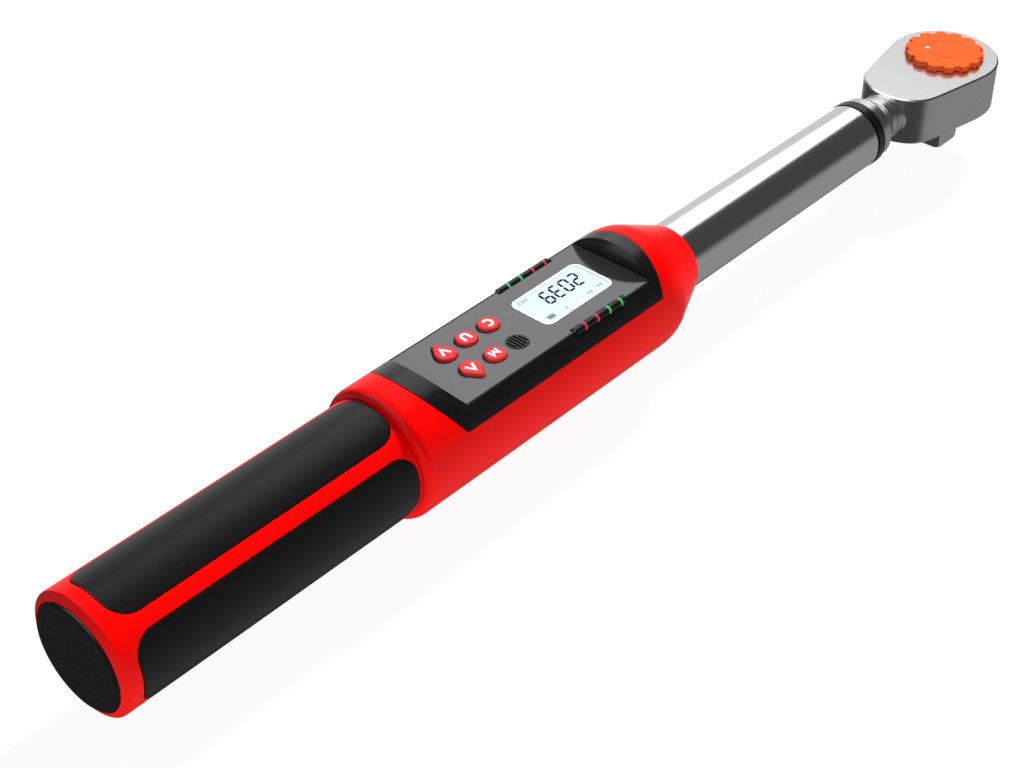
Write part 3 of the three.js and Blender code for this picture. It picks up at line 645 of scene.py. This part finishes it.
def key_signs():
    """The line of each key's sign: an open ring, a bowl, a zigzag and two chevrons."""
    arc = [math.radians(48 + 264 * i / 24) for i in range(25)]
    bowl = [math.radians(180 + 180 * i / 16) for i in range(17)]
    curve = [(1.15 * math.cos(a), -0.45 + 1.15 * math.sin(a)) for a in bowl]
    strokes = {
        "key_clear": [(1.35 * math.cos(a), 1.45 * math.sin(a)) for a in arc],
        "key_unit": [(-1.15, 1.5)] + curve + [(1.15, 1.5)],
        "key_mode": [(-1.35, -1.5), (-1.35, 1.3), (0, -0.9), (1.35, 1.3), (1.35, -1.5)],
    }
    signs = {}
    for key in KEYS:
        name, x, y, tip = key["name"], key["x"], key["y"], key["tip"]
        if tip:
            signs[name] = [(x + s * 1.45, y + tip * t) for s, t in ((-1, -0.9), (0, 2.1), (1, -0.9))]
        else:
            at = reading(x, y)
            signs[name] = [at(u, v) for u, v in strokes[name]]
    return signs


SEGMENTS = {  # each stroke of a figure, in cell units of width and height
    "a": ((0, 1), (1, 1)), "b": ((1, 1), (1, 0.5)), "c": ((1, 0.5), (1, 0)), "d": ((0, 0), (1, 0)),
    "e": ((0, 0.5), (0, 0)), "f": ((0, 1), (0, 0.5)), "g": ((0, 0.5), (1, 0.5)),
}
FIGURES = {"2": "abged", "0": "abcdef", "3": "abgcd", "9": "abcdfg"}


def figure_strokes(bm, text, low, high):
    """A row of slanted figures, each stroke a bar with pointed ends."""
    width, height, pitch, slant = 2.75, 5.8, 4.32, 0.9
    thick, clear = 0.82, 0.12  # width of a stroke, and how far its tip stays from the next one's
    at = reading(196.2, 4.85)
    for k, sign in enumerate(text):
        for name in FIGURES[sign]:
            (ax, ay), (bx, by) = SEGMENTS[name]
            start = Vector((k * pitch + ax * width + slant * ay, ay * height))
            end = Vector((k * pitch + bx * width + slant * by, by * height))
            along = (end - start).normalized()
            across = Vector((-along.y, along.x))
            a, b = start + along * clear, end - along * clear
            shape = [a, a + (along - across) * thick / 2, b - (along + across) * thick / 2,
                     b, b - (along - across) * thick / 2, a + (along + across) * thick / 2]
            slab(bm, [at(p.x, p.y) for p in shape], [(0, low), (0, high)])


PLATE_LOW = 13.7  # underside of the faceplate and of the pieces let into it


def build_display():
    """The faceplate and everything that shows in it or beside it."""
    holes = [rounded_rect(LCD_X, 0, 31.1, 16.7, 2.95)]
    holes += [key_outline(key, KEY_GAP) for key in KEYS] + [circle(*BUZZER, 3.6)]
    x0, x1, y1 = 127.5, 208.3, 15.0
    notch0, notch1, notch_y = 173.0, 197.4, 13.78  # a notch in each side makes room for a bar of lights
    outline = []
    for side in (-1, 1):
        row = [(x0, y1 - 0.4), (x0 + 0.12, y1 - 0.12), (x0 + 0.4, y1), (notch0, y1), (notch0, notch_y),
               (notch1, notch_y), (notch1, y1), (x1 - 0.4, y1), (x1 - 0.12, y1 - 0.12), (x1, y1 - 0.4)]
        row = [(x, side * y) for x, y in row]
        outline += row if side < 0 else row[::-1]
    bm = bmesh.new()
    slab(bm, outline, [(0, PLATE_LOW), (0, 14.1), (0.05, 14.18), (0.1, 14.2)], holes)
    finish_piece("fine_faceplate", bm, LOOK["faceplate_grey"], "handle", ["faceplate"])

    bm = bmesh.new()
    rim_levels = [(0, PLATE_LOW), (0, 14.25), (0.05, 14.35), (0.2, 14.4)]
    slab(bm, rounded_rect(LCD_X, 0, 30.8, 16.4, 2.8), rim_levels, [rounded_rect(LCD_X, 0, 28.5, 14.1, 1.8)])
    finish_piece("fine_lcd_rim", bm, LOOK["white_plastic"], "handle", ["lcd_rim"])
    bm = bmesh.new()
    slab(bm, rounded_rect(LCD_X, 0, 28.4, 14.0, 1.7), [(0, PLATE_LOW), (0, 14.2), (0.05, 14.24)])
    finish_piece("fine_lcd_window", bm, LOOK["lcd_glass"], "handle", ["lcd_window"])

    # Figures, a battery sign and small bars, printed on the window
    low, high = 14.22, 14.27
    bm = bmesh.new()
    figure_strokes(bm, "2039", low, high)
    ribbon(bm, [(173.6, -6.0), (176.2, -6.0), (176.2, -4.6), (173.6, -4.6), (173.6, -6.0)], 0.2, low, high)
    for x in (174.2, 174.9, 175.6):
        ribbon(bm, [(x, -5.8), (x, -4.8)], 0.42, low, high)
    finish_piece("lcd_figures", bm, LOOK["lcd_ink"], "handle", keep_islands=True)
    bm = bmesh.new()
    marks = [(173.3, 5.9, 0.9), (174.7, 5.9, 0.9), (176.1, 5.9, 0.9), (181.4, -5.6, 0.7),
             (191.6, -5.6, 0.8), (192.8, -5.6, 0.8), (196.4, -5.3, 0.9), (197.7, -5.3, 0.9)]
    for x, y, length in marks:
        ribbon(bm, [(x - length / 2, y), (x + length / 2, y)], 1.1, low, high)
    finish_piece("lcd_marks", bm, LOOK["lcd_faint"], "handle", keep_islands=True)

    # Sounder grille: a disc with five slots that end on one circle
    slots = []
    slot_pitch, slot_width, slotted_r = 1.2, 0.56, 2.95
    for step in (-2, -1, 0, 1, 2):
        half = math.sqrt(slotted_r ** 2 - (slot_pitch * step) ** 2)
        slots.append(rounded_rect(BUZZER[0] + slot_pitch * step, BUZZER[1], slot_width, 2 * half, 0.27, 5))
    bm = bmesh.new()
    slab(bm, circle(*BUZZER, 3.45), [(0, PLATE_LOW), (0, 14.22), (0.05, 14.3), (0.12, 14.32)], slots)
    finish_piece("fine_buzzer_grille", bm, LOOK["black_plastic"], "handle",
                 ["buzzer_grille"])

    signs = key_signs()
    for key in KEYS:
        name = key["name"]
        bm = bmesh.new()
        levels = [(0, 12.0), (0, 14.55), (0.05, 14.8), (0.16, 14.98), (0.34, 15.12), (0.62, 15.2)]
        slab(bm, key_outline(key, 0), levels)
        slab(bm, circle(key["x"], key["y"], KEY_R + 0.6), [(0, 11.5), (0, 11.95)])
        finish_piece("fine_" + name, bm, LOOK["key_red"], name, [name], angle=50)
        bm = bmesh.new()
        ribbon(bm, signs[name], 0.92, 15.18, 15.23)
        finish_piece(name + "_sign", bm, LOOK["key_sign"], name)

    # The bar of lights along each side of the display, two red and two green
    y, z, r, x0, x1 = 15.1, 13.6, 1.3, 173.2, 197.2
    for side, sign in (("near", -1), ("far", 1)):
        bm = bmesh.new()
        profile = [(x0, 0), (x0, 0.75, 0.1), (x0 + 0.7, r, 0.25),
                   (x1 - 0.7, r, 0.25), (x1, 0.75, 0.1), (x1, 0)]
        lathe_x(bm, filleted(profile), 32, sign * y, z)
        finish_piece("fine_light_bar_" + side, bm, LOOK["black_plastic"], "handle",
                     ["light_bar_" + side])
        for i, x in enumerate(LIGHTS):
            bm = bmesh.new()
            ring = [(x - 0.45, 1.15), (x - 0.45, 1.3), (x - 0.38, 1.37), (x - 0.2, 1.4), (x + 0.2, 1.4),
                    (x + 0.38, 1.37), (x + 0.45, 1.3), (x + 0.45, 1.15), (x - 0.45, 1.15)]
            lathe_x(bm, ring, 32, sign * y, z)
            color = "light_red" if (i < 2) == (sign < 0) else "light_green"
            node = f"light_{side}_{i + 1}"
            finish_piece("fine_" + node, bm, LOOK[color], "handle", [node], angle=60)


# ---------------------------------------------------------------- tube, ring and collar

def build_tube():
    """The steel tube, the black ring at its end and the steel collar in front of it."""
    bm = bmesh.new()
    lathe_x(bm, filleted([
        (216, 9.6), (216, TUBE_R, 0.3), (340.9, TUBE_R, 0.12), (341.6, 11.17, 0.12), (341.6, 9.6, 0.1),
        (216, 9.6),
    ], 3), 160)
    finish_piece("fine_steel_tube", bm, LOOK["steel"], "handle", ["steel_tube"], angle=25)
    bm = bmesh.new()
    lathe_x(bm, filleted([
        (341.8, 8.5), (341.8, 12, 0.3), (345.5, 12, 0.3), (345.5, 8.5), (341.8, 8.5),
    ]), 128)
    finish_piece("fine_tube_end_ring", bm, LOOK["black_plastic"], "handle",
                 ["tube_end_ring"])
    bm = bmesh.new()
    lathe_x(bm, filleted([
        (345.7, 8.5), (345.7, 11.2, 0.35), (350.3, 11.2, 0.5), (351.2, 10.4, 0.3), (351.2, 8.5), (345.7, 8.5),
    ]), 128)
    finish_piece("fine_neck_collar", bm, LOOK["satin_steel"], "handle", ["neck_collar"])


# ---------------------------------------------------------------- ratchet head

NECK_FROM, NECK_TO = 336, 366.5
# Name, station, side and radius of each screw in the cover
SCREWS = [("cover_screw_near", 369.2, -6.0, 2.1), ("cover_screw_far", 369.2, 6.0, 2.1),
          ("cover_screw_front", DRIVE_X + 15, 0.0, 1.5)]


def working_solid(name, shape, *sizes):
    """A closed solid for cutting or joining, in millimetres, made by one of the shape functions."""
    bm = bmesh.new()
    shape(bm, *sizes)
    bmesh.ops.remove_doubles(bm, verts=bm.verts, dist=1e-4)
    bmesh.ops.recalc_face_normals(bm, faces=bm.faces)
    mesh = bpy.data.meshes.new(name)
    bm.to_mesh(mesh)
    bm.free()
    solid = bpy.data.objects.new(name, mesh)
    scene.collection.objects.link(solid)
    return solid


def combined(start, steps):
    """start joined with, or cut by, each working solid. The working solids are then removed."""
    for operation, other in steps:
        change = start.modifiers.new("change", "BOOLEAN")
        change.operation = operation
        change.solver = "EXACT"
        change.object = other
    bpy.context.view_layer.update()
    result = bpy.data.meshes.new_from_object(start.evaluated_get(bpy.context.evaluated_depsgraph_get()))
    bm = bmesh.new()
    bm.from_mesh(result)
    bpy.data.meshes.remove(result)
    for solid in [start] + [other for _, other in steps]:
        bpy.data.objects.remove(solid)
    return bm


def plug(start, end, r):
    """Profile of a plain round plug from start to end."""
    return [(start, 0), (start, r), (end, r), (end, 0)]


def neck(bm):
    """The round neck with a wide and a fine groove. It spreads sideways where it meets the head."""
    profile = [(NECK_FROM, NECK_R), (351.3, NECK_R), (351.5, 8.1), (351.6, 7.2), (355.6, 7.2),
               (355.65, 8.0), (355.8, 8.2), (356.1, NECK_R), (358.5, NECK_R), (358.8, 8.2), (359, 8.05),
               (359.3, 8.05), (359.5, 8.2), (359.8, NECK_R), (361.5, 8.32), (362.4, 8.4), (363.2, 8.6),
               (364, 8.9), (365.2, 9.2), (NECK_TO, 9.3)]
    rings = [[(NECK_FROM, 0, 0)]]
    for x, r in profile:
        upright = min(r, NECK_R)
        ring = []
        for i in range(96):
            a = 2 * math.pi * i / 96
            ring.append((x, r * math.cos(a), upright * math.sin(a)))
        rings.append(ring)
    rings.append([(NECK_TO, 0, 0)])
    bridge(bm, rings)


def build_head():
    """The ratchet head with its neck, the cover below, its screws, and the dial on top."""
    rounded_low = [(1.3, HEAD_BOTTOM), (0.85, HEAD_BOTTOM + 0.06), (0.45, HEAD_BOTTOM + 0.25),
                   (0.2, HEAD_BOTTOM + 0.52), (0.05, HEAD_BOTTOM + 0.9), (0, HEAD_BOTTOM + 1.3)]
    chamfered_high = [(0, HEAD_TOP - 0.5), (0.5, HEAD_TOP)]
    blank = working_solid("blank", slab, pear(19.93, 367.2, 13.9, 361, 60), rounded_low + chamfered_high)
    steps = [("UNION", working_solid("neck", neck))]
    hollows = [
        ("cover_recess", slab, pear(17.2, 368.6, 11.3, 363.6, 25), [(0, -12), (0, -7.4)]),
        ("gear_hollow", lathe_z, plug(-7.6, 5, 13), DRIVE_X, 0, 96),
        ("pawl_pocket", slab, rounded_rect(383, 0, 19, 18.6, 3), [(0, -7.6), (0, 5)]),
        ("spindle_hole", lathe_z, plug(4, 12, 4.25), DRIVE_X, 0, 64),
        ("pawl_pin_hole", lathe_z, plug(4, 6.6, 2.2), 381.5, 0, 32),
        ("bar_bore", lathe_x, plug(330, 350, 5.2), 48),
        ("neck_pin_hole", lathe_z, plug(-10, 10, 1.4), 343.6, 0, 24),
    ]
    steps += [("DIFFERENCE", working_solid(*hollow)) for hollow in hollows]
    bm = combined(blank, steps)
    finish_piece("fine_head_body", bm, LOOK["satin_steel"], "handle", ["head_body"], angle=28)

    bm = bmesh.new()
    holes = [circle(DRIVE_X, 0, 9.8, 96)] + [circle(x, y, r + 0.12, 40) for _, x, y, r in SCREWS]
    levels = [(0.2, HEAD_BOTTOM), (0.05, HEAD_BOTTOM + 0.06), (0, HEAD_BOTTOM + 0.2), (0, -7.55)]
    slab(bm, pear(17.0, 368.9, 11.1, 363.9, 25), levels, holes)
    finish_piece("fine_head_cover", bm, LOOK["satin_steel"], "handle", ["head_cover"])

    # Screws with a hexagon socket
    for name, x, y, r in SCREWS:
        def hexagon(a, across=0.5 * r):
            turned = (a + math.pi / 6) % (math.pi / 3) - math.pi / 6
            return across / math.cos(turned)

        bm = bmesh.new()
        low = HEAD_BOTTOM + 0.1
        profile = [(-7.7, 0), (-7.7, r), (low + 0.2, r), (low + 0.06, r - 0.06), (low, r - 0.2),
                   (low, hexagon), (low + 0.9, hexagon), (low + 0.9, 0)]
        lathe_z(bm, profile, x, y, 72)
        finish_piece("fine_" + name, bm, LOOK["steel"], "handle", [name])

    # Direction dial with fourteen lobes, a ring groove and a pale dot that shows its setting
    def lobed(d, lobes=14):
        def radius(a):
            wave = math.cos(lobes * (a - math.radians(12.85)))
            step = 0.5 + 0.5 * math.tanh(6 * (wave + 0.32))
            return 12.9 + 1.28 * step - d
        return radius

    bm = bmesh.new()
    low, top = HEAD_TOP + 0.2, 11.0
    profile = [(4.8, 0), (4.8, 4.0), (low, 4.0), (low, 11.5), (low, lobed(0.12)), (low + 0.1, lobed(0.0)),
               (top - 0.35, lobed(0.0)), (top - 0.16, lobed(0.05)), (top - 0.04, lobed(0.16)),
               (top, lobed(0.38)), (top, 12.1), (top, 10.0), (top, 8.0), (top, 6.55), (top - 0.03, 6.47),
               (top - 0.1, 6.4), (top - 0.1, 6.1), (top - 0.03, 6.03), (top, 5.95), (top, 3), (top, 0)]
    lathe_z(bm, profile, DRIVE_X, 0, 336)
    finish_piece("fine_direction_dial", bm, LOOK["orange_plastic"], "dial",
                 ["direction_dial"])
    bm = bmesh.new()
    dot = [(10.9, 0), (10.9, 0.8), (11.03, 0.8), (11.06, 0.72), (11.07, 0.6), (11.07, 0)]
    lathe_z(bm, dot, DRIVE_X - 2.9, 5.6, 40)
    finish_piece("dial_dot", bm, LOOK["dial_dot"], "dial")


build_grip()
build_housing()
build_frame()
build_display()
build_tube()
build_head()

# The CAD pieces that stay get their finish, and the square drive gets softened edges
slot_of = {row["node"]: row["material_slot"] for row in frame["record"]["subparts"]}
for name, node in frame["nodes"].items():
    node.data.materials.clear()
    node.data.materials.append(LOOK[slot_of[name]])
    if name == "drive_gear":
        rounding = node.modifiers.new("rounding", "BEVEL")
        rounding.width = 0.15 * MM
        rounding.segments = 2
        rounding.limit_method = "ANGLE"
        rounding.angle_limit = math.radians(35)

# ---------------------------------------------------------------- camera, floor and light

BACK = Vector((-0.5908505, -0.5280872, 0.6099341))  # from the tool towards the camera
camera_data = bpy.data.cameras.new("camera")
camera_data.lens = 69.98
camera_data.sensor_width = 36
camera = bpy.data.objects.new("camera", camera_data)
camera.location = (-0.59018, -0.31557, 0.38294)
camera.rotation_euler = (-BACK).to_track_quat("-Z", "Y").to_euler()
scene.collection.objects.link(camera)
scene.camera = camera

# A pale floor that shines by itself, so that only a faint shadow shows on it
FLOOR_HALF, FLOOR_DROP, FLOOR_SHINE = 6.0, 0.0002, 0.95
floor_mesh = bpy.data.meshes.new("floor")
corners = [(sx * FLOOR_HALF, sy * FLOOR_HALF, 0) for sx, sy in ((-1, -1), (1, -1), (1, 1), (-1, 1))]
floor_mesh.from_pydata(corners, [], [(0, 1, 2, 3)])
floor = bpy.data.objects.new("floor", floor_mesh)
floor.location.z = -FLOOR_DROP
floor_mesh.materials.append(finish("floor_white", (0.07, 0.07, 0.07), 0.8, tone=0.01, bump=0.0,
                                   sockets=lit((1, 1, 1), FLOOR_SHINE, **{"Specular IOR Level": 0.0})))
floor.visible_glossy = False
scene.collection.objects.link(floor)

# The room is dim grey, with pale areas low on the near side, at the far horizon and low in front
world = bpy.data.worlds.new("studio")
world.use_nodes = True
nodes, links = world.node_tree.nodes, world.node_tree.links
room = nodes.new("ShaderNodeTexCoord")
ROOM_GREY = 0.05
GLOWS = [  # direction, cosines of the angle off it where the glow starts and is full, strength
    ((0.59, -0.53, -0.61), 0.68, 0.86, 0.21),
    ((0.59, 0.80, 0.0), 0.80, 0.95, 0.55),
    ((0.80, 0.43, -0.43), 0.94, 0.98, 1.2),
]
total = None
for direction, start, full, strength in GLOWS:
    toward = nodes.new("ShaderNodeVectorMath")
    toward.operation = "DOT_PRODUCT"
    toward.inputs[1].default_value = Vector(direction).normalized()
    links.new(room.outputs["Generated"], toward.inputs[0])
    glow = nodes.new("ShaderNodeMapRange")
    glow.interpolation_type = "SMOOTHSTEP"
    glow.inputs["From Min"].default_value = start
    glow.inputs["From Max"].default_value = full
    glow.inputs["To Max"].default_value = strength
    links.new(toward.outputs["Value"], glow.inputs["Value"])
    added = nodes.new("ShaderNodeMath")
    added.inputs[0].default_value = ROOM_GREY
    if total:
        links.new(total, added.inputs[0])
    links.new(glow.outputs["Result"], added.inputs[1])
    total = added.outputs["Value"]
nodes["Background"].inputs["Color"].default_value = (1, 1, 1, 1)
links.new(total, nodes["Background"].inputs["Strength"])
scene.world = world

AIM = Vector((-0.16, 0.0, 0.03))  # a point in the barrel


def softbox(name, direction, distance, width, height, radiance):
    """A flat light aimed at the tool. Its power follows from the brightness of its face."""
    data = bpy.data.lights.new(name, "AREA")
    data.shape = "RECTANGLE"
    data.size, data.size_y = width, height
    data.energy = radiance * math.pi * width * height
    lamp = bpy.data.objects.new(name, data)
    lamp.location = AIM + Vector(direction).normalized() * distance
    lamp.rotation_euler = (AIM - lamp.location).to_track_quat("-Z", "Y").to_euler()
    scene.collection.objects.link(lamp)
    return lamp


# The front and rear boxes are seen only in reflections. The near box fills the near side, and the
# sun from the front gives the main light and the shadows
front_box = softbox("front_box", (0.62, 0.36, 0.70), 1.3, 1.0, 1.0, 1.08)
front_box.visible_diffuse = False
near_box = softbox("near_box", (-0.60, -0.77, 0.20), 1.6, 1.1, 0.7, 4.2)
near_box.visible_glossy = False
rear_box = softbox("rear_box", (-0.52, 0.25, 0.75), 1.4, 2.2, 1.2, 1.8)
rear_box.visible_diffuse = False

sun_data = bpy.data.lights.new("front_sun", "SUN")
sun_data.energy = 6.2
sun_data.angle = math.radians(6)
sun = bpy.data.objects.new("front_sun", sun_data)
sun.rotation_euler = Vector((-0.745, -0.22, -0.63)).to_track_quat("-Z", "Y").to_euler()
sun.visible_glossy = False
scene.collection.objects.link(sun)
